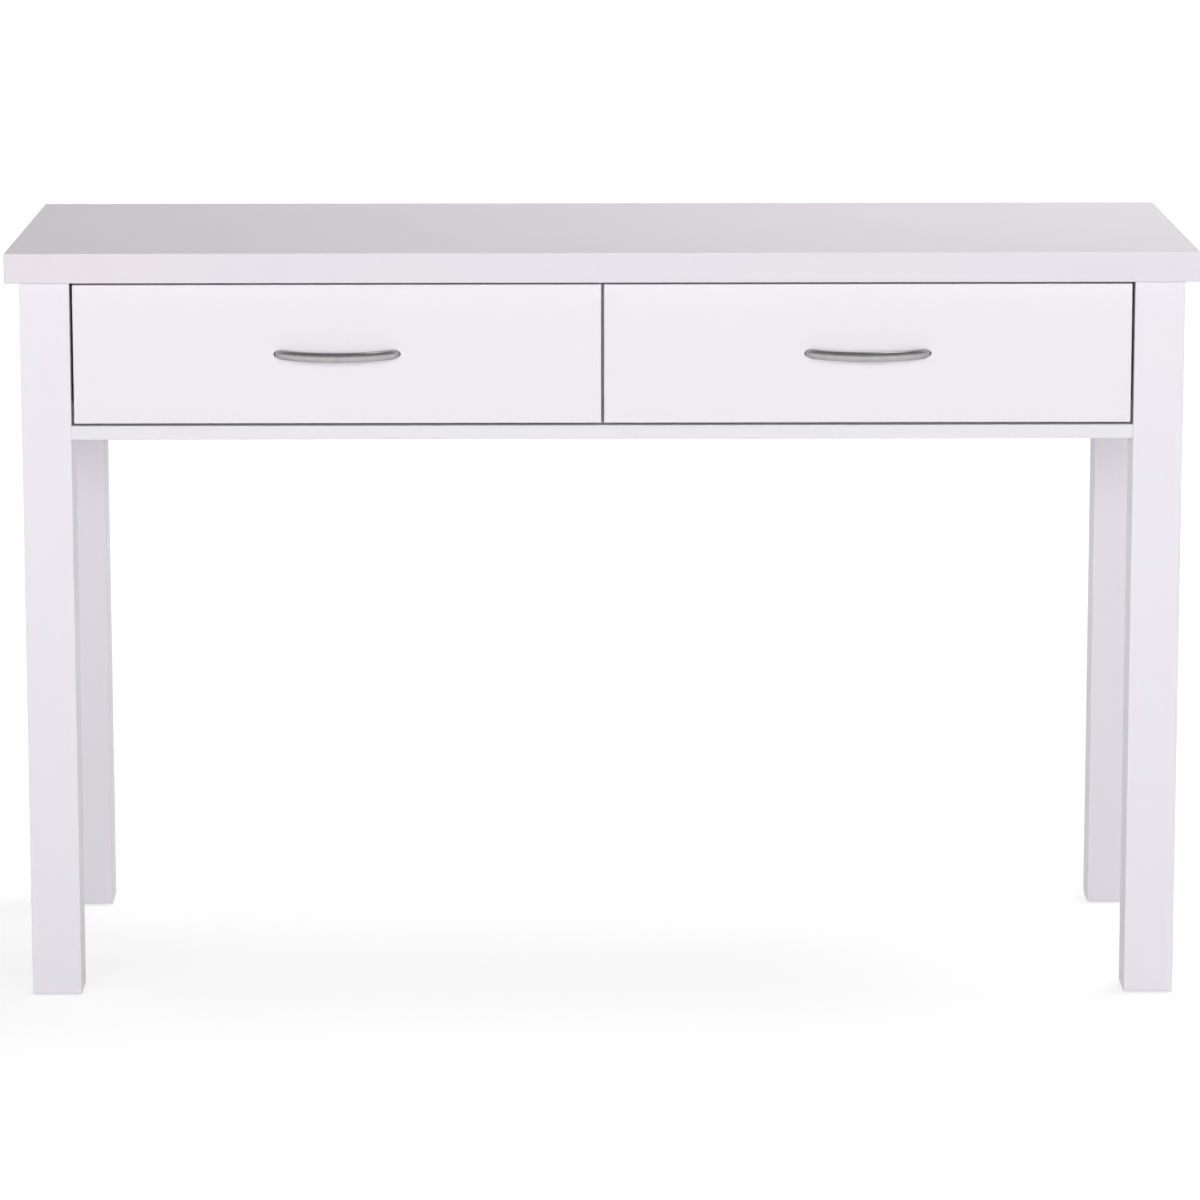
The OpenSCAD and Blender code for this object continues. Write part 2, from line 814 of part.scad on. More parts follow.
mirror([1, 0, 0]) left_drawer_dowels();  // right_drawer_dowels
mirror([1, 0, 0]) left_outer_rear_roller();  // right_outer_rear_roller
mirror([1, 0, 0]) left_inner_rear_roller();  // right_inner_rear_roller
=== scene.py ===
import math

import bpy
import numpy as np
from bpy.props import FloatProperty, FloatVectorProperty, PointerProperty
from bpy.types import Operator, Panel, PropertyGroup
from mathutils import Matrix, Vector


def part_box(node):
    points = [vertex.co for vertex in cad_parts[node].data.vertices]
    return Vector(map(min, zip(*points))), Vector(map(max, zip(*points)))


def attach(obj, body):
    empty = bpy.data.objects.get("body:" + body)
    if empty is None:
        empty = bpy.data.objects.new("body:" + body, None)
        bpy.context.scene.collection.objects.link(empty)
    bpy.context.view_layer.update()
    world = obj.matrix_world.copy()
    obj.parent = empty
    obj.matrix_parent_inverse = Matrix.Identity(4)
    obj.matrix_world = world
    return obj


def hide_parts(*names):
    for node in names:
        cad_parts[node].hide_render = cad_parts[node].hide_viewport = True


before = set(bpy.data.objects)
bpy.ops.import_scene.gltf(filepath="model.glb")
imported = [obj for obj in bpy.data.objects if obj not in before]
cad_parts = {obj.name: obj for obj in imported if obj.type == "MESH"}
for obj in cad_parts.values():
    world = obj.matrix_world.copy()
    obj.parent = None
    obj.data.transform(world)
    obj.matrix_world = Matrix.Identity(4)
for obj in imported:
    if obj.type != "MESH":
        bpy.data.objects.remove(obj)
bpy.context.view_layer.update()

bl_info = {
    "name": "White console table with two drawers",
    "version": (1, 0, 0),
    "blender": (4, 5, 0),
    "location": "3D View > Sidebar > Console table",
    "description": "Foil-faced boards, bow handles, runners and studio of a console table",
    "category": "Add Mesh",
}

SIDES = ("left", "right")
LEGS = ("front_left_leg", "front_right_leg", "rear_left_leg", "rear_right_leg")


# ---------------------------------------------------------------- sizes and colours

class ConsoleTableSizes(PropertyGroup):
    board_ease: FloatProperty(
        name="Arris of the boards", description="Radius rubbed onto the edges of legs and fronts",
        default=0.0007, min=0.0002, max=0.003, unit="LENGTH", precision=5)
    band_ease: FloatProperty(
        name="Arris of the edge band", description="Radius trimmed along both edges of the band",
        default=0.0008, min=0.0002, max=0.001, unit="LENGTH", precision=5)
    band_corner: FloatProperty(
        name="Corner of the edge band", description="Radius of the band at a corner of the top",
        default=0.0014, min=0.001, max=0.004, unit="LENGTH", precision=5)
    handle_height: FloatProperty(
        name="Height of the handle bar", description="Height of the bow bar in its middle",
        default=0.0100, min=0.008, max=0.014, unit="LENGTH", precision=5)
    handle_depth: FloatProperty(
        name="Thickness of the handle bar", description="Thickness of the bow bar, front to back",
        default=0.0060, min=0.004, max=0.008, unit="LENGTH", precision=5)
    handle_post: FloatProperty(
        name="Radius of a handle post", description="Radius of the screw posts behind the bow bar",
        default=0.0034, min=0.0025, max=0.006, unit="LENGTH", precision=5)


class ConsoleTableColours(PropertyGroup):
    foil: FloatVectorProperty(
        name="Leg foil", description="Melamine foil of the legs", subtype="COLOR",
        size=3, min=0.0, max=1.0, default=(0.872, 0.836, 0.890))
    top_foil: FloatVectorProperty(
        name="Top foil", description="Melamine foil and edge band of the top", subtype="COLOR",
        size=3, min=0.0, max=1.0, default=(0.840, 0.800, 0.850))
    drawer_foil: FloatVectorProperty(
        name="Drawer foil", description="Melamine foil of the drawer fronts", subtype="COLOR",
        size=3, min=0.0, max=1.0, default=(0.880, 0.846, 0.890))
    board: FloatVectorProperty(
        name="Case board", description="Facing of the case boards", subtype="COLOR",
        size=3, min=0.0, max=1.0, default=(0.840, 0.826, 0.862))
    box: FloatVectorProperty(
        name="Drawer box", description="Foil of the drawer sides and back", subtype="COLOR",
        size=3, min=0.0, max=1.0, default=(0.800, 0.795, 0.790))
    sheet: FloatVectorProperty(
        name="Drawer bottom", description="Faced hardboard of the drawer bottoms", subtype="COLOR",
        size=3, min=0.0, max=1.0, default=(0.760, 0.745, 0.715))
    nickel: FloatVectorProperty(
        name="Satin nickel", description="Plating of the handles and the cam nuts", subtype="COLOR",
        size=3, min=0.0, max=1.0, default=(0.430, 0.412, 0.425))
    zinc: FloatVectorProperty(
        name="Bright zinc", description="Plating of the screws, bolts, axles and brackets",
        subtype="COLOR", size=3, min=0.0, max=1.0, default=(0.560, 0.565, 0.585))
    epoxy: FloatVectorProperty(
        name="Epoxy", description="White coat of the runners", subtype="COLOR",
        size=3, min=0.0, max=1.0, default=(0.760, 0.755, 0.745))
    nylon: FloatVectorProperty(
        name="Nylon", description="Rollers and foot glides", subtype="COLOR",
        size=3, min=0.0, max=1.0, default=(0.800, 0.795, 0.750))
    beech: FloatVectorProperty(
        name="Beech", description="Wood of the dowels", subtype="COLOR",
        size=3, min=0.0, max=1.0, default=(0.560, 0.380, 0.200))


class ConsoleTableStudio(PropertyGroup):
    lens: FloatProperty(
        name="Lens", description="Focal length of the camera on a 36 mm sensor",
        default=163.4, min=20.0, max=400.0, unit="CAMERA")
    camera_at: FloatVectorProperty(
        name="Camera place", description="Where the camera stands", subtype="TRANSLATION",
        unit="LENGTH", size=3, default=(-0.0398, -5.6463, 1.4170))
    pitch: FloatProperty(
        name="Downward tilt", description="How far the camera looks down",
        default=0.1826, min=-1.5, max=1.5, unit="ROTATION")
    yaw: FloatProperty(
        name="Turn to the right", description="How far the camera is turned to the right",
        default=0.0068, min=-3.1, max=3.1, unit="ROTATION")
    roll: FloatProperty(
        name="Roll", description="How far the camera leans",
        default=-0.0007, min=-0.5, max=0.5, unit="ROTATION")
    front_box: FloatProperty(
        name="Front softbox", description="Power of the wide softbox in front of the table",
        default=131.0, min=0.0, max=5000.0, unit="POWER")
    top_box: FloatProperty(
        name="Top softbox", description="Power of the softbox above the table",
        default=31.0, min=0.0, max=5000.0, unit="POWER")
    back_box: FloatProperty(
        name="Back softbox", description="Power of the softbox behind the table",
        default=42.0, min=0.0, max=5000.0, unit="POWER")
    room: FloatProperty(
        name="Room", description="Strength of the even white light of the room",
        default=0.60, min=0.0, max=2.0)


# ---------------------------------------------------------------- surfaces

TOP_ARRIS = 0.00012      # arris left on the top board inside its edge band, m
SCREW_END = 0.0038       # from a post's middle to the end of the box round the two screws, m


def as_points(x, y, z):
    """Points, or normals, from three arrays of coordinates that fit each other."""
    return np.stack(np.broadcast_arrays(x, y, z), axis=-1)


def squares(index):
    """Corners of the squares between neighbours in a grid that is closed along its columns."""
    ahead = np.roll(index, -1, axis=1)
    return np.stack([index[:-1], ahead[:-1], ahead[1:], index[1:]], axis=-1).reshape(-1, 4)


def smooth_mesh(name, verts, faces, normals=None):
    """Smooth mesh, with its own normals where they are known."""
    mesh = bpy.data.meshes.new(name)
    mesh.from_pydata(verts.tolist(), [], faces)
    mesh.update()
    mesh.polygons.foreach_set("use_smooth", np.ones(len(mesh.polygons), bool))
    if normals is not None:
        mesh.normals_split_custom_set_from_vertices(normals.tolist())
    return mesh


def grid_shell(points):
    """Vertices and faces of a surface given as points[row, column], closed along the columns. Points
    that fall together become one vertex, squares between neighbours become faces, and the first and
    last row are filled. The corners are turned round if the signed volume, the sum of a . (b x c)
    over fans of every face, comes out negative, so faces point outwards. Also returns which point
    each vertex is."""
    _, first, same = np.unique(np.round(points.reshape(-1, 3) * 1e8).astype(np.int64), axis=0,
                               return_index=True, return_inverse=True)
    verts = points.reshape(-1, 3)[first]
    index = same.reshape(points.shape[:2])
    quads = squares(index)
    keep = quads != np.roll(quads, -1, axis=1)
    whole = keep.sum(axis=1) > 2
    quads, keep = quads[whole], keep[whole]
    faces = np.split(quads[keep], np.cumsum(keep.sum(axis=1))[:-1])
    for ring in (index[0][::-1], index[-1]):
        ring = ring[ring != np.roll(ring, -1)]
        if len(ring) > 2:
            faces.append(ring)
    volume = sum(float((verts[f[0]] * np.cross(verts[f[1:-1]], verts[f[2:]])).sum()) for f in faces)
    if volume < 0:
        faces = [f[::-1] for f in faces]
    return verts, faces, first


def shell_mesh(name, *grids, normals=None):
    """Mesh of one or more closed shells. Normals are given for a single shell only."""
    verts, faces, start = [], [], 0
    for points in grids:
        shell_verts, shell_faces, first = grid_shell(points)
        verts.append(shell_verts)
        faces += [(face + start).tolist() for face in shell_faces]
        start += len(shell_verts)
    known = None if normals is None else normals.reshape(-1, 3)[first]
    return smooth_mesh(name, np.concatenate(verts), faces, known)


def corner_turn(steps):
    """Angles of one quarter, then of a full turn with both ends of every quarter kept, and the sign
    of x and of y at each angle of the full turn."""
    quarter = np.linspace(0.0, math.pi / 2, steps + 1)
    turn = np.concatenate([quarter + k * math.pi / 2 for k in range(4)])
    sign_x = np.repeat([1.0, -1.0, -1.0, 1.0], steps + 1)
    sign_y = np.repeat([1.0, 1.0, -1.0, -1.0], steps + 1)
    return quarter, turn, sign_x, sign_y


def eased_board(name, low, high, ease, steps=4):
    """Board with rounded arrises. A point of the unit sphere at longitude u and latitude v, times the
    radius of the arris, is pushed outwards along each axis by half the board's size less the radius,
    with the sign of its octant: p = centre + sign * (half - r) + r * n(u, v). Both signs are kept
    where an octant ends, so the flat faces open up between the octants. The normal is n(u, v)."""
    low, high = np.array(low), np.array(high)
    half = (high - low) / 2
    quarter, lon, sign_x, sign_y = corner_turn(steps)
    lat = np.concatenate([quarter - math.pi / 2, quarter])[:, None]
    sign_z = np.repeat([-1.0, 1.0], steps + 1)[:, None]
    normals = as_points(np.cos(lat) * np.cos(lon), np.cos(lat) * np.sin(lon), np.sin(lat))
    sign = as_points(sign_x, sign_y, sign_z)
    points = (low + high) / 2 + sign * (half - ease) + ease * normals
    return shell_mesh(name, points, normals=normals)


def edge_band_ring(name, low, high, thick, ease, corner, steps=5):
    """Band that runs round a rectangle. The path is the rectangle with corners of the given radius;
    the section is an upright strip with its two outer arrises rounded. A point of the section lies d
    inside the path and at height z: p = corner centre + (radius - d) * n(u), with n the outward
    direction at the angle u of the corner. The section is closed, so the ring is a closed tube."""
    low, high = np.array(low), np.array(high)
    mid, half = (low + high) / 2, (high - low) / 2
    quarter, turn, sign_x, sign_y = corner_turn(steps)
    sin_q, cos_q = np.sin(quarter), np.cos(quarter)
    inside = np.concatenate([[thick, ease], ease - ease * sin_q, ease - ease * cos_q, [ease, thick]])
    z = np.concatenate([[high[2], high[2]], high[2] - ease + ease * cos_q,
                        low[2] + ease - ease * sin_q, [low[2], low[2]]])
    up = np.concatenate([[1.0, 1.0], cos_q, -sin_q, [-1.0, -1.0]])
    outward = np.concatenate([[0.0, 0.0], sin_q, cos_q, [0.0, 0.0]])
    cos_u, sin_u = np.cos(turn)[:, None], np.sin(turn)[:, None]
    reach = corner - inside
    points = as_points((mid[0] + sign_x * (half[0] - corner))[:, None] + reach * cos_u,
                       (mid[1] + sign_y * (half[1] - corner))[:, None] + reach * sin_u, z)
    normals = as_points(cos_u * outward, sin_u * outward, up)
    rows, cols, _ = points.shape
    verts = points.reshape(-1, 3)
    index = np.arange(rows * cols).reshape(rows, cols)
    quads = squares(np.concatenate([index, index[:1]]))
    a, b, c, d = (verts[quads[:, k]] for k in range(4))
    if (a * (np.cross(b, c) + np.cross(c, d))).sum() < 0:
        quads = quads[:, ::-1]
    return smooth_mesh(name, verts, quads.tolist(), normals.reshape(-1, 3))


def bow_radius(length, stand_off):
    """Radius of the arc through both feet and the crown: (length^2 / 4 + h^2) / 2h at stand-off h."""
    return (length * length / 4 + stand_off * stand_off) / (2 * stand_off)


def bow_bar(centre_x, face_y, mid_z, length, stand_off, height, depth, rows=161, cols=40):
    """Bow handle bar. The middle line is an arc in plan through both feet, which lie on the drawer
    front, and the crown, which stands off from it. Round it goes a section whose back is flat and
    whose front is crowned: p(s, t) = arc(s) + a(s) * f(t) * outward + b(s) * g(t) * up, where f and g
    are a rounded rectangle and a(s), b(s) shrink to nothing over a quarter circle at each foot.
    Points behind the drawer front are laid flat on it."""
    tip_gap = 0.0006                              # the middle line ends this far inside the feet
    tip_span = height * 1.25                      # a foot narrows over this length
    swell, swell_from = 0.05, 0.55                # growth of the height towards the feet
    tip_depth = 0.35                              # share of the depth left where a foot closes
    crown_power, back_power, side_power = 0.95, 0.5, 0.85      # 1 is round, less is squarer
    outer = bow_radius(length, stand_off)
    middle = outer - depth / 2
    centre_y = face_y - stand_off + outer
    reach = math.asin((length / 2 - tip_gap) / middle)
    s = np.sin(np.linspace(-math.pi / 2, math.pi / 2, rows))
    angle = s * reach
    tip = np.clip(1 - (1 - np.abs(s)) * reach * middle / tip_span, 0.0, 1.0)
    shrink = np.sqrt(np.clip(1 - tip ** 2, 0.0, 1.0))
    b = height / 2 * (1 + swell * np.clip(np.abs(s) - swell_from, 0, 1)) * shrink
    a = depth / 2 * (tip_depth + (1 - tip_depth) * shrink) * (shrink > 0)
    t = np.linspace(0, 2 * math.pi, cols, endpoint=False)
    power = np.where(np.cos(t) > 0, crown_power, back_power)
    f = np.sign(np.cos(t)) * np.abs(np.cos(t)) ** power
    g = np.sign(np.sin(t)) * np.abs(np.sin(t)) ** side_power
    out = middle + a[:, None] * f
    x = centre_x + out * np.sin(angle)[:, None]
    y = np.minimum(centre_y - out * np.cos(angle)[:, None], face_y)
    return as_points(x, y, mid_z + b[:, None] * g)


def turned_post(x, z, y_front, y_back, radius, cols=32):
    """Post turned about a line along Y. Its outline is given as shares of its length and of its
    radius: a plain shank that flares into a small foot on the drawer front."""
    along = np.array([0.0, 0.02, 0.55, 0.80, 0.93, 1.0])[:, None]
    width = np.array([0.98, 1.0, 1.0, 1.0, 1.05, 1.10])[:, None] * radius
    t = np.linspace(0, 2 * math.pi, cols, endpoint=False)
    return as_points(x + width * np.cos(t), y_front + (y_back - y_front) * along,
                     z + width * np.sin(t))


def put_piece(name, mesh, material, body, slot, *replaced):
    """Puts a finished mesh in the scene as a piece that rides on a body."""
    mesh.name = name
    piece = bpy.data.objects.new(name, mesh)
    bpy.context.scene.collection.objects.link(piece)
    mesh.materials.clear()
    mesh.materials.append(material)
    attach(piece, body)
    if replaced:
        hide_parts(*replaced)
    return piece


# ---------------------------------------------------------------- shader groups

def new_group(name, inputs, outputs):
    """Empty shader group with the named sockets; returns it with its input and output nodes."""
    group = bpy.data.node_groups.new(name, "ShaderNodeTree")
    for label, kind, value in inputs:
        socket = group.interface.new_socket(name=label, in_out="INPUT", socket_type=kind)
        if value is not None:
            socket.default_value = value
    for label, kind in outputs:
        group.interface.new_socket(name=label, in_out="OUTPUT", socket_type=kind)
    return group, group.nodes.new("NodeGroupInput"), group.nodes.new("NodeGroupOutput")


def math_node(nodes, operation, *values, clamp=False):
    """Math node; a value of None leaves its input to be linked."""
    node = nodes.new("ShaderNodeMath")
    node.operation, node.use_clamp = operation, clamp
    for k, value in enumerate(values):
        if value is not None:
            node.inputs[k].default_value = value
    return node


def slow_drift_group():
    """Slow change over the surface: two octaves of noise about 0.5, stretched by an amount."""
    group, start, end = new_group(
        "slow_drift",
        [("Vector", "NodeSocketVector", None), ("Per Metre", "NodeSocketFloat", 6.0),
         ("Amount", "NodeSocketFloat", 0.2)],
        [("Value", "NodeSocketFloat")])
    nodes, links = group.nodes, group.links
    noise = nodes.new("ShaderNodeTexNoise")
    noise.inputs["Detail"].default_value = 2.0
    noise.inputs["Roughness"].default_value = 0.45
    shift = math_node(nodes, "SUBTRACT", None, 0.5)
    scale = math_node(nodes, "MULTIPLY")
    links.new(start.outputs["Vector"], noise.inputs["Vector"])
    links.new(start.outputs["Per Metre"], noise.inputs["Scale"])
    links.new(noise.outputs["Fac"], shift.inputs[0])
    links.new(shift.outputs[0], scale.inputs[0])
    links.new(start.outputs["Amount"], scale.inputs[1])
    links.new(scale.outputs[0], end.inputs["Value"])
    return group


def pressed_grain_group():
    """Fine pebble left by the press plate on a foil: small noise with two finer octaves in it."""
    group, start, end = new_group(
        "pressed_grain",
        [("Vector", "NodeSocketVector", None), ("Per Metre", "NodeSocketFloat", 700.0)],
        [("Height", "NodeSocketFloat")])
    nodes, links = group.nodes, group.links
    coarse = nodes.new("ShaderNodeTexNoise")
    coarse.inputs["Detail"].default_value = 3.0
    coarse.inputs["Roughness"].default_value = 0.6
    links.new(start.outputs["Vector"], coarse.inputs["Vector"])
    links.new(start.outputs["Per Metre"], coarse.inputs["Scale"])
    links.new(coarse.outputs["Fac"], end.inputs["Height"])
    return group


def painted_arris_highlight_group():
    """Mask of the arrises, where the materials paint a highlight: 1 less the dot product of the
    rounded normal and the true normal, times a gain and broken up by noise. Also gives the rounded
    normal."""
    group, start, end = new_group(
        "painted_arris_highlight",
        [("Vector", "NodeSocketVector", None), ("Width", "NodeSocketFloat", 0.0012),
         ("Gain", "NodeSocketFloat", 6.0)],
        [("Mask", "NodeSocketFloat"), ("Normal", "NodeSocketVector")])
    nodes, links = group.nodes, group.links
    bevel = nodes.new("ShaderNodeBevel")
    bevel.samples = 6
    true = nodes.new("ShaderNodeNewGeometry")
    dot = nodes.new("ShaderNodeVectorMath")
    dot.operation = "DOT_PRODUCT"
    less = math_node(nodes, "SUBTRACT", 1.0)
    noise = nodes.new("ShaderNodeTexNoise")
    noise.inputs["Scale"].default_value = 90.0
    noise.inputs["Detail"].default_value = 3.0
    wide = math_node(nodes, "MULTIPLY")
    patch = math_node(nodes, "MULTIPLY", clamp=True)
    links.new(start.outputs["Width"], bevel.inputs["Radius"])
    links.new(bevel.outputs["Normal"], dot.inputs[0])
    links.new(true.outputs["Normal"], dot.inputs[1])
    links.new(dot.outputs["Value"], less.inputs[1])
    links.new(less.outputs[0], wide.inputs[0])
    links.new(start.outputs["Gain"], wide.inputs[1])
    links.new(start.outputs["Vector"], noise.inputs["Vector"])
    links.new(wide.outputs[0], patch.inputs[0])
    links.new(noise.outputs["Fac"], patch.inputs[1])
    links.new(patch.outputs[0], end.inputs["Mask"])
    links.new(bevel.outputs["Normal"], end.inputs["Normal"])
    return group


def brushed_lines_group():
    """Fine drawn lines: noise whose grain is set apart along each axis, in grains per metre."""
    group, start, end = new_group(
        "brushed_lines",
        [("Vector", "NodeSocketVector", None),
         ("Along", "NodeSocketVector", (40.0, 2600.0, 2600.0))],
        [("Value", "NodeSocketFloat")])
    nodes, links = group.nodes, group.links
    stretch = nodes.new("ShaderNodeVectorMath")
    stretch.operation = "MULTIPLY"
    noise = nodes.new("ShaderNodeTexNoise")
    noise.inputs["Scale"].default_value = 1.0
    noise.inputs["Detail"].default_value = 2.0
    links.new(start.outputs["Vector"], stretch.inputs[0])
    links.new(start.outputs["Along"], stretch.inputs[1])
    links.new(stretch.outputs["Vector"], noise.inputs["Vector"])
    links.new(noise.outputs["Fac"], end.inputs["Value"])
    return group


def shader_group(name):
    """The shader group of that name, built the first time it is asked for."""
    makers = {"slow_drift": slow_drift_group, "pressed_grain": pressed_grain_group,
              "painted_arris_highlight": painted_arris_highlight_group, "brushed_lines": brushed_lines_group}
    return bpy.data.node_groups.get(name) or makers[name]()


def use_group(nodes, name, **values):
    """Node of a shader group with its own values, named with _ for a space."""
    node = nodes.new("ShaderNodeGroup")
    node.node_tree = shader_group(name)
    for label, value in values.items():
        node.inputs[label.replace("_", " ")].default_value = value
    return node


# ---------------------------------------------------------------- materials

def blank_material(name):
    """New material, with its nodes, its links and its shader."""
    material = bpy.data.materials.new(name)
    material.use_nodes = True
    nodes = material.node_tree.nodes
    return material, nodes, material.node_tree.links, nodes["Principled BSDF"]


def mix_colour(nodes, links, low, high, factor):
    """Colour between low and high by a varying factor."""
    mix = nodes.new("ShaderNodeMix")
    mix.data_type = "RGBA"
    mix.inputs["A"].default_value = (*low, 1.0)
    mix.inputs["B"].default_value = (*high, 1.0)
    links.new(factor, mix.inputs["Factor"])
    return mix.outputs["Result"]


def cover(nodes, links, body, over, mask):
    """Varying colour of the body, covered by another colour where the mask says so."""
    mix = nodes.new("ShaderNodeMix")
    mix.data_type = "RGBA"
    mix.inputs["B"].default_value = (*over, 1.0)
    links.new(body, mix.inputs["A"])
    links.new(mask, mix.inputs["Factor"])
    return mix.outputs["Result"]


def remap(nodes, links, value, low, high, from_low=0.0, from_high=1.0):
    """Varying value moved from one range to another."""
    node = nodes.new("ShaderNodeMapRange")
    node.inputs["From Min"].default_value = from_low
    node.inputs["From Max"].default_value = from_high
    node.inputs["To Min"].default_value = low
    node.inputs["To Max"].default_value = high
    links.new(value, node.inputs["Value"])
    return node.outputs["Result"]


def from_middle(nodes, links, value):
    """Factor from 0 to 1 that is 0.5 where the value is 0."""
    middle = math_node(nodes, "ADD", None, 0.5, clamp=True)
    links.new(value, middle.inputs[0])
    return middle.outputs[0]


def fine_relief(nodes, links, height, normal, strength, distance):
    """Normal of a fine relief laid over another normal."""
    bump = nodes.new("ShaderNodeBump")
    bump.inputs["Strength"].default_value = strength
    bump.inputs["Distance"].default_value = distance
    links.new(height, bump.inputs["Height"])
    links.new(normal, bump.inputs["Normal"])
    return bump.outputs["Normal"]


def on_object(nodes, links, *patterns):
    """Lays the patterns out in the object's own coordinates."""
    place = nodes.new("ShaderNodeTexCoord").outputs["Object"]
    for pattern in patterns:
        links.new(place, pattern.inputs["Vector"])


def feed(links, bsdf, **outputs):
    """Links the shader's inputs, named with _ for a space."""
    for label, output in outputs.items():
        links.new(output, bsdf.inputs[label.replace("_", " ")])


def shade(colour, factor, tint=(1.0, 1.0, 1.0)):
    """Colour made lighter or darker and tinted, no brighter than 1."""
    return tuple(min(1.0, c * factor * t) for c, t in zip(colour, tint))


def foil_material(name, colour, rough, grain=750.0, bump=0.00003, drift=5.0, warm=0.02):
    """Melamine foil: near-white colour that drifts faintly between cool and rosy, fine press grain in
    the bump, roughness that wanders, and a painted highlight that makes the arrises a touch lighter.
    Grain and drift are per metre, bump is in metres, and warm is the width of the drift in colour."""
    material, nodes, links, bsdf = blank_material(name)
    slow = use_group(nodes, "slow_drift", Per_Metre=drift, Amount=2.2)
    fine = use_group(nodes, "slow_drift", Per_Metre=95.0, Amount=1.0)
    pebble = use_group(nodes, "pressed_grain", Per_Metre=grain)
    edge = use_group(nodes, "painted_arris_highlight", Width=0.0010, Gain=4.0)
    on_object(nodes, links, slow, fine, pebble, edge)
    cool = shade(colour, 1.0, (1.0 - warm / 2, 1.0, 1.0 + warm / 3))
    rosy = shade(colour, 1.0, (1.0 + warm / 2, 1.0 - warm / 2, 1.0))
    body = mix_colour(nodes, links, cool, rosy, from_middle(nodes, links, slow.outputs["Value"]))
    uneven = math_node(nodes, "ADD")
    links.new(fine.outputs["Value"], uneven.inputs[0])
    links.new(slow.outputs["Value"], uneven.inputs[1])
    feed(links, bsdf,
         # Painted highlight: the arrises take a colour 4.5 % lighter than the foil.
         Base_Color=cover(nodes, links, body, shade(colour, 1.045), edge.outputs["Mask"]),
         Roughness=remap(nodes, links, uneven.outputs[0], rough - 0.05, rough + 0.05, -0.8, 0.8),
         Normal=fine_relief(nodes, links, pebble.outputs["Height"], edge.outputs["Normal"],
                            0.35, bump))
    bsdf.inputs["Specular IOR Level"].default_value = 0.42
    return material


def metal_material(name, colour, rough, along, tone=0.10):
    """Plated metal: fine drawn lines in the roughness and bump, slow clouding of the tone, and a
    painted highlight that brightens the arrises. Along is the grain of the lines per metre on each
    axis."""
    material, nodes, links, bsdf = blank_material(name)
    lines = use_group(nodes, "brushed_lines", Along=along)
    cloud = use_group(nodes, "slow_drift", Per_Metre=120.0, Amount=1.6)
    edge = use_group(nodes, "painted_arris_highlight", Width=0.0004, Gain=3.0)
    on_object(nodes, links, lines, cloud, edge)
    body = mix_colour(nodes, links, shade(colour, 1.0 - tone), shade(colour, 1.0 + tone / 2),
                      from_middle(nodes, links, cloud.outputs["Value"]))
    feed(links, bsdf,
         # Painted highlight: the arrises take a colour 18 % lighter than the metal.
         Base_Color=cover(nodes, links, body, shade(colour, 1.18), edge.outputs["Mask"]),
         Roughness=remap(nodes, links, lines.outputs["Value"], rough - 0.06, rough + 0.08),
         Normal=fine_relief(nodes, links, lines.outputs["Value"], edge.outputs["Normal"],
                            0.25, 0.00001))
    bsdf.inputs["Metallic"].default_value = 1.0
    return material


def epoxy_material(name, colour):
    """Baked epoxy on sheet steel: soft orange peel, faint clouding, and a thin painted highlight
    along the arrises.
    """
    material = foil_material(name, colour, 0.34, grain=420.0, bump=0.00006, drift=30.0, warm=0.012)
    material.node_tree.nodes["Principled BSDF"].inputs["Coat Weight"].default_value = 0.25
    return material


def nylon_material(name, colour):
    """Natural nylon: waxy, a little see-through, with a fine moulded grain and a faint clouding."""
    material = foil_material(name, colour, 0.42, grain=260.0, bump=0.00004, drift=60.0, warm=0.03)
    bsdf = material.node_tree.nodes["Principled BSDF"]
    bsdf.inputs["Subsurface Weight"].default_value = 0.15
    bsdf.inputs["Subsurface Scale"].default_value = 0.002
    return material


def beech_material(name, colour):
    """Beech: long fibres along the dowel and short dark flecks."""
    material, nodes, links, bsdf = blank_material(name)
    fibre = use_group(nodes, "brushed_lines", Along=(300.0, 300.0, 2400.0))
    fleck = nodes.new("ShaderNodeTexVoronoi")
    fleck.inputs["Scale"].default_value = 900.0
    on_object(nodes, links, fibre, fleck)
    body = mix_colour(nodes, links, shade(colour, 0.78), shade(colour, 1.15),
                      fibre.outputs["Value"])
    mark = nodes.new("ShaderNodeMix")
    mark.data_type = "RGBA"
    mark.inputs["A"].default_value = (*shade(colour, 0.55), 1.0)
    links.new(body, mark.inputs["B"])
    links.new(remap(nodes, links, fleck.outputs["Distance"], 0.35, 1.0, 0.0, 0.35),
              mark.inputs["Factor"])
    feed(links, bsdf, Base_Color=mark.outputs["Result"],
         Roughness=remap(nodes, links, fibre.outputs["Value"], 0.45, 0.7))
    return material


def finish(name):
    """The finish of that name, built the first time it is asked for."""
    c = bpy.context.scene.console_colours
    makers = {
        "white_foil": lambda n: foil_material(n, tuple(c.foil), 0.40),
        "top_foil": lambda n: foil_material(n, tuple(c.top_foil), 0.38, drift=3.2, warm=0.025),
        "drawer_foil": lambda n: foil_material(n, tuple(c.drawer_foil), 0.42, drift=4.0, warm=0.012),
        "white_board": lambda n: foil_material(n, tuple(c.board), 0.46, grain=600.0, drift=7.0),
        "box_board": lambda n: foil_material(n, tuple(c.box), 0.50, grain=520.0, bump=0.00005,
                                             drift=9.0),
        "hardboard": lambda n: foil_material(n, tuple(c.sheet), 0.55, grain=380.0, bump=0.00008,
                                             drift=12.0),
        "nickel": lambda n: metal_material(n, tuple(c.nickel), 0.20, (60.0, 900.0, 2600.0)),
        "zinc": lambda n: metal_material(n, tuple(c.zinc), 0.32, (700.0, 700.0, 2200.0), tone=0.16),
        "white_steel": lambda n: epoxy_material(n, tuple(c.epoxy)),
        "nylon": lambda n: nylon_material(n, tuple(c.nylon)),
        "beech": lambda n: beech_material(n, tuple(c.beech)),
    }
    return bpy.data.materials.get("finish_" + name) or makers[name]("finish_" + name)


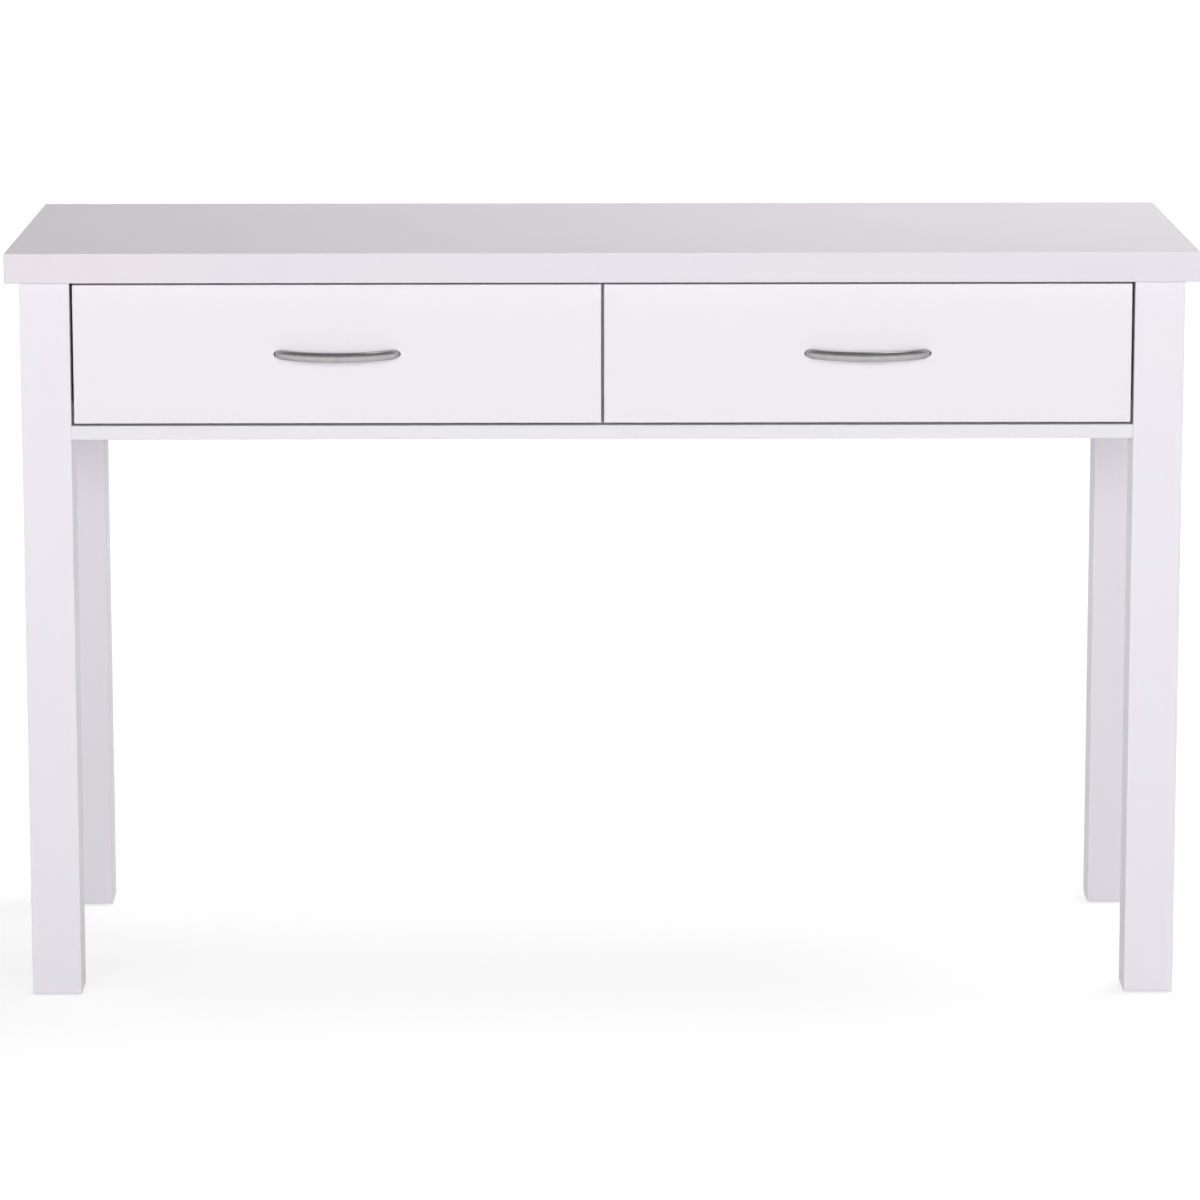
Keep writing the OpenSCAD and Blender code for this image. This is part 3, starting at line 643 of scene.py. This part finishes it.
def dress(node, name):
    """Gives a node of the frame its finish through its own material slots."""
    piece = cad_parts[node]
    if not piece.material_slots:
        piece.data.materials.append(finish(name))
    for slot in piece.material_slots:
        slot.material = finish(name)


# ---------------------------------------------------------------- operators

class CONSOLE_OT_top(Operator):
    """Lays the top: a foil-faced board with an edge band glued round it"""
    bl_idname = "console.top"
    bl_label = "Table top"

    def execute(self, context):
        s = context.scene.console_sizes
        low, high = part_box("table_top")
        board = eased_board("top_board", low, high, TOP_ARRIS, 2)
        put_piece("top_board", board, finish("top_foil"), "case", "white_foil", "table_top")
        low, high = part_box("top_edge_bands")
        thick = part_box("table_top")[0][0] - low[0]
        band = edge_band_ring("top_band", low, high, thick, s.band_ease, s.band_corner)
        put_piece("top_band", band, finish("top_foil"), "case", "white_foil", "top_edge_bands")
        return {"FINISHED"}


class CONSOLE_OT_legs(Operator):
    """Stands the four square legs on their glides"""
    bl_idname = "console.legs"
    bl_label = "Legs and glides"

    def execute(self, context):
        s = context.scene.console_sizes
        for leg in LEGS:
            low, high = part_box(leg)
            post = eased_board(leg, low, high, s.board_ease)
            put_piece(leg + "_post", post, finish("white_foil"), "case", "white_foil", leg)
        dress("foot_glides", "nylon")
        return {"FINISHED"}


class CONSOLE_OT_case(Operator):
    """Faces the boards of the case with white foil"""
    bl_idname = "console.case"
    bl_label = "Case boards"

    def execute(self, context):
        for node in ("left_side_panel", "right_side_panel", "back_panel", "bottom_board",
                     "centre_divider"):
            dress(node, "white_board")
        return {"FINISHED"}


class CONSOLE_OT_fronts(Operator):
    """Hangs the two drawer fronts"""
    bl_idname = "console.fronts"
    bl_label = "Drawer fronts"

    def execute(self, context):
        s = context.scene.console_sizes
        for side in SIDES:
            low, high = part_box(side + "_drawer_front")
            front = eased_board(side, low, high, s.board_ease)
            put_piece(side + "_front_board", front, finish("drawer_foil"),
                      side + "_drawer", "drawer_foil", side + "_drawer_front")
        return {"FINISHED"}


class CONSOLE_OT_boxes(Operator):
    """Finishes the drawer boxes behind the fronts"""
    bl_idname = "console.boxes"
    bl_label = "Drawer boxes"

    def execute(self, context):
        for side in SIDES:
            for part in ("_drawer_outer_side", "_drawer_inner_side", "_drawer_back"):
                dress(side + part, "box_board")
            dress(side + "_drawer_bottom", "hardboard")
        return {"FINISHED"}


class CONSOLE_OT_handles(Operator):
    """Screws a satin nickel bow handle to each drawer front"""
    bl_idname = "console.handles"
    bl_label = "Bow handles"

    def execute(self, context):
        s = context.scene.console_sizes
        for side in SIDES:
            low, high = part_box(side + "_drawer_handle")
            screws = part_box(side + "_handle_screws")
            mid_x, mid_z = (low[0] + high[0]) / 2, (low[2] + high[2]) / 2
            length, stand_off = high[0] - low[0], high[1] - low[1]
            bar = bow_bar(mid_x, high[1], mid_z, length, stand_off, s.handle_height, s.handle_depth)
            outer = bow_radius(length, stand_off)
            post_x = (screws[1][0] - screws[0][0]) / 2 - SCREW_END
            start_y = low[1] + outer - math.sqrt((outer - s.handle_depth / 2) ** 2 - post_x ** 2)
            posts = [turned_post(mid_x + k * post_x, mid_z, start_y, high[1], s.handle_post)
                     for k in (-1, 1)]
            put_piece(side + "_bow_handle", shell_mesh("handle", bar, *posts), finish("nickel"),
                      side + "_drawer", "nickel", side + "_drawer_handle")
            dress(side + "_handle_screws", "zinc")
        return {"FINISHED"}


class CONSOLE_OT_runners(Operator):
    """Finishes the rails, the drawer runners and their nylon rollers"""
    bl_idname = "console.runners"
    bl_label = "Rails, runners and rollers"

    def execute(self, context):
        for side in SIDES:
            for place in ("outer", "inner"):
                dress(f"{side}_{place}_rail", "white_steel")
                dress(f"{side}_drawer_{place}_runner", "white_steel")
                for end in ("front", "rear"):
                    dress(f"{side}_{place}_{end}_roller", "nylon")
            dress(side + "_drawer_axles", "zinc")
        dress("rail_axles", "zinc")
        return {"FINISHED"}


class CONSOLE_OT_fixings(Operator):
    """Finishes the cam fittings, dowels, screws and brackets"""
    bl_idname = "console.fixings"
    bl_label = "Fixings"

    def execute(self, context):
        for node in ("case_cam_bolts", "divider_screws", "top_brackets", "small_screws"):
            dress(node, "zinc")
        dress("case_cam_nuts", "nickel")
        dress("case_dowels", "beech")
        for side in SIDES:
            dress(side + "_drawer_screws", "zinc")
            dress(side + "_drawer_cam_bolts", "zinc")
            dress(side + "_drawer_cam_nuts", "nickel")
            dress(side + "_drawer_dowels", "beech")
        return {"FINISHED"}


# ---------------------------------------------------------------- studio

FLOOR_HALF = 40.0                     # half the width of the floor, m
FLOOR_COLOUR = 0.50
FLOOR_RISE = (0.8, 5.0)               # the floor's own light rises between these distances, m
FLOOR_LIGHT = (0.66, 0.95)            # the floor's own light at those distances
ROOM_BANDS = ((0.0, 0.75), (0.30, 0.75), (0.46, 0.40), (0.90, 0.40), (1.0, 0.50))
# Where a softbox stands, what it faces, its width and its height, m
FRONT_PLACE = ((-0.12, -3.7, 1.20), (-0.05, 0.0, 0.50), 8.6, 1.1)
BACK_PLACE = ((0.4, 3.5, 1.7), (0.0, 0.0, 0.45), 5.0, 1.2)
TOP_PLACE = ((1.0, 0.5, 2.7), (0.1, 0.0, 0.7), 1.8, 1.4)
NO_GLEAM = ("top_board", "top_band")
SENSOR = 36.0                         # width of the camera's sensor, mm


def studio_floor():
    """Pale floor that keeps the object's shadow. Its own light, for the camera and for what metal
    mirrors, rises with the distance from the object until the floor is white."""
    r = FLOOR_HALF
    mesh = bpy.data.meshes.new("studio_floor")
    mesh.from_pydata([(-r, -r, 0), (r, -r, 0), (r, r, 0), (-r, r, 0)], [], [(0, 1, 2, 3)])
    floor = bpy.data.objects.new("studio_floor", mesh)
    bpy.context.scene.collection.objects.link(floor)
    material, nodes, links, bsdf = blank_material("studio_floor")
    bsdf.inputs["Base Color"].default_value = (FLOOR_COLOUR, FLOOR_COLOUR, FLOOR_COLOUR, 1.0)
    bsdf.inputs["Roughness"].default_value = 0.9
    bsdf.inputs["Specular IOR Level"].default_value = 0.0
    bsdf.inputs["Emission Color"].default_value = (1.0, 1.0, 1.0, 1.0)
    path = nodes.new("ShaderNodeLightPath")
    seen = math_node(nodes, "MAXIMUM")
    links.new(path.outputs["Is Camera Ray"], seen.inputs[0])
    links.new(path.outputs["Is Glossy Ray"], seen.inputs[1])
    also = math_node(nodes, "MAXIMUM")
    links.new(seen.outputs[0], also.inputs[0])
    links.new(path.outputs["Is Transmission Ray"], also.inputs[1])
    away = nodes.new("ShaderNodeVectorMath")
    away.operation = "LENGTH"
    links.new(nodes.new("ShaderNodeTexCoord").outputs["Object"], away.inputs[0])
    glow = math_node(nodes, "MULTIPLY")
    links.new(also.outputs[0], glow.inputs[0])
    links.new(remap(nodes, links, away.outputs["Value"], *FLOOR_LIGHT, *FLOOR_RISE), glow.inputs[1])
    links.new(glow.outputs[0], bsdf.inputs["Emission Strength"])
    mesh.materials.append(material)


def studio_room(strength):
    """White room light that is dimmer in a band above the horizon. The camera sees plain white."""
    world = bpy.data.worlds.new("studio_room")
    bpy.context.scene.world = world
    world.use_nodes = True
    nodes, links = world.node_tree.nodes, world.node_tree.links
    background = nodes["Background"]
    background.inputs["Color"].default_value = (1.0, 1.0, 1.0, 1.0)
    height = nodes.new("ShaderNodeSeparateXYZ")
    links.new(nodes.new("ShaderNodeTexCoord").outputs["Generated"], height.inputs["Vector"])
    band = nodes.new("ShaderNodeValToRGB")
    ramp = band.color_ramp
    ramp.interpolation = "EASE"
    for place, _ in ROOM_BANDS[1:-1]:
        ramp.elements.new(place)
    for stop, (_, value) in zip(ramp.elements, ROOM_BANDS):
        stop.color = (value, value, value, 1.0)
    links.new(height.outputs["Z"], band.inputs["Fac"])
    even = math_node(nodes, "MULTIPLY", None, strength)
    links.new(band.outputs["Color"], even.inputs[0])
    level = nodes.new("ShaderNodeMix")
    level.data_type = "FLOAT"
    level.inputs["B"].default_value = 1.0
    links.new(nodes.new("ShaderNodeLightPath").outputs["Is Camera Ray"], level.inputs["Factor"])
    links.new(even.outputs[0], level.inputs["A"])
    links.new(level.outputs["Result"], background.inputs["Strength"])


def softbox(name, place, power):
    """Rectangular soft light that faces a point and isn't seen by the camera."""
    at, look, width, height = place
    data = bpy.data.lights.new(name, "AREA")
    data.shape, data.size, data.size_y, data.energy = "RECTANGLE", width, height, power
    lamp = bpy.data.objects.new(name, data)
    lamp.location = at
    lamp.rotation_euler = (Vector(look) - Vector(at)).to_track_quat("-Z", "Y").to_euler()
    lamp.visible_camera = False
    bpy.context.scene.collection.objects.link(lamp)
    return lamp


def studio_lamps(front_power, back_power, top_power):
    """Three softboxes. The front one is two lamps in one place, one for its light and one for its
    gleam, and the gleam is kept off the top, which would be white with it when seen from behind."""
    softbox("front_softbox", FRONT_PLACE, front_power).visible_glossy = False
    gleam = softbox("front_gleam", FRONT_PLACE, front_power)
    gleam.visible_diffuse = False
    kept_off = bpy.data.collections.new("no_gleam")
    for name in NO_GLEAM:
        kept_off.objects.link(bpy.data.objects[name])
    for item in kept_off.collection_objects:
        item.light_linking.link_state = "EXCLUDE"
    gleam.light_linking.receiver_collection = kept_off
    softbox("back_softbox", BACK_PLACE, back_power).visible_glossy = False
    softbox("top_softbox", TOP_PLACE, top_power)


def studio_camera(s):
    """Long-lens camera in front of the table, a little above it."""
    data = bpy.data.cameras.new("camera")
    data.lens, data.sensor_width, data.sensor_height = s.lens, SENSOR, SENSOR
    data.sensor_fit = "HORIZONTAL"
    data.clip_end = 100.0
    camera = bpy.data.objects.new("camera", data)
    turn = (Matrix.Rotation(-s.yaw, 4, "Z") @ Matrix.Rotation(math.pi / 2 - s.pitch, 4, "X")
            @ Matrix.Rotation(s.roll, 4, "Z"))
    camera.matrix_world = Matrix.Translation(Vector(s.camera_at)) @ turn
    bpy.context.scene.collection.objects.link(camera)
    bpy.context.scene.camera = camera


class CONSOLE_OT_stage(Operator):
    """Sets the floor, the room, the soft lights and the camera"""
    bl_idname = "console.stage"
    bl_label = "Studio"

    def execute(self, context):
        s = context.scene.console_studio
        studio_floor()
        studio_room(s.room)
        studio_lamps(s.front_box, s.back_box, s.top_box)
        studio_camera(s)
        context.scene.view_settings.view_transform = "Standard"
        return {"FINISHED"}


class CONSOLE_PT_panel(Panel):
    """Lists the steps that build the table"""
    bl_idname = "CONSOLE_PT_panel"
    bl_label = "Console table"
    bl_space_type = "VIEW_3D"
    bl_region_type = "UI"
    bl_category = "Console table"

    def draw(self, context):
        scene = context.scene
        for group in (scene.console_sizes, scene.console_colours, scene.console_studio):
            box = self.layout.box()
            for key in type(group).__annotations__:
                box.prop(group, key)
        for step in STEPS:
            self.layout.operator(step.bl_idname, text=step.bl_label)


STEPS = (CONSOLE_OT_top, CONSOLE_OT_legs, CONSOLE_OT_case, CONSOLE_OT_fronts, CONSOLE_OT_boxes,
         CONSOLE_OT_handles, CONSOLE_OT_runners, CONSOLE_OT_fixings, CONSOLE_OT_stage)
CLASSES = (ConsoleTableSizes, ConsoleTableColours, ConsoleTableStudio) + STEPS + (CONSOLE_PT_panel,)


def register():
    for cls in CLASSES:
        bpy.utils.register_class(cls)
    bpy.types.Scene.console_sizes = PointerProperty(type=ConsoleTableSizes)
    bpy.types.Scene.console_colours = PointerProperty(type=ConsoleTableColours)
    bpy.types.Scene.console_studio = PointerProperty(type=ConsoleTableStudio)


def unregister():
    del bpy.types.Scene.console_studio
    del bpy.types.Scene.console_colours
    del bpy.types.Scene.console_sizes
    for cls in reversed(CLASSES):
        bpy.utils.unregister_class(cls)


def main():
    register()
    for step in STEPS:
        group, name = step.bl_idname.split(".")
        if getattr(getattr(bpy.ops, group), name)() != {"FINISHED"}:
            raise RuntimeError(step.bl_label + " was not made")


if __name__ == "__main__":
    main()
